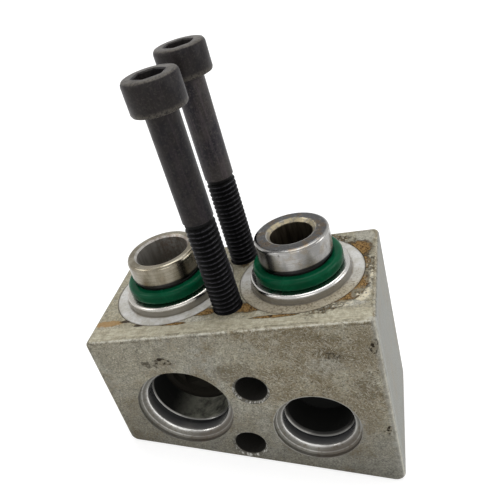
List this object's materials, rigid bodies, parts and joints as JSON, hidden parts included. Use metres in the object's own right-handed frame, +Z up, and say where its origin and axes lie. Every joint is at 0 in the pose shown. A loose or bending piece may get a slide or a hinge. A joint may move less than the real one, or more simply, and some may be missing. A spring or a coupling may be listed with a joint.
{
  "type": "right-angle block expansion valve",
  "caption": "Solid metal block valve with O-ring spigots and cap screws on a sloping top, hose ports and through holes in front, and a sprung ball valve moved by a sealed diaphragm element.",
  "frame": {"origin": "middle of the flat base", "axes": "X along the base from the low end to the high end of the sloping top, Y from the front face with the hose ports to the back, Z up; the top face slopes 15 degrees about Y"},
  "size_m": [0.0665, 0.031, 0.0819],
  "materials": {
    "block_aluminium": "cast and machined, dull, weathered",
    "spigot_steel": "turned, bright",
    "spigot_rubber": "smooth, oiled",
    "black_screw_steel": "black oxide",
    "plug_aluminium": "turned",
    "seal_rubber": "matte",
    "element_steel": "pressed",
    "inner_steel": "ground",
    "brass": "turned"
  },
  "bodies": {
    "block": {"valve_block": "block_aluminium", "suction_spigot": "spigot_steel", "liquid_spigot": "spigot_steel", "suction_spigot_o_ring": "spigot_rubber", "liquid_spigot_o_ring": "spigot_rubber", "end_plug": "plug_aluminium", "end_plug_o_ring": "seal_rubber", "element_cover": "element_steel", "charge_plug": "element_steel", "element_diaphragm": "element_steel", "element_base": "element_steel", "rod_guide": "brass", "rod_seal": "seal_rubber", "seal_retainer": "brass", "valve_seat": "inner_steel", "valve_spring": "inner_steel", "spring_seat": "brass"},
    "valve_stem": {"push_rod": "inner_steel", "stop_pad": "brass", "valve_ball": "inner_steel", "ball_cup": "brass"},
    "front_screw": {"front_cap_screw": "black_screw_steel"},
    "rear_screw": {"rear_cap_screw": "black_screw_steel"}
  },
  "joints": [
    {"name": "valve_lift", "type": "slide", "parent": "block", "child": "valve_stem", "axis": [1, 0, 0], "range_m": [0, 0.0008], "stiffness_N_per_m": 8000, "springref_m": -0.0005, "deforming": ["valve_spring"]},
    {"name": "front_screw_travel", "type": "slide", "parent": "block", "child": "front_screw", "axis": [-0.2588, 0, 0.9659], "range_m": [-0.0056, 0.0029]},
    {"name": "rear_screw_travel", "type": "slide", "parent": "block", "child": "rear_screw", "axis": [-0.2588, 0, 0.9659], "range_m": [-0.0056, 0.0029]}
  ]
}
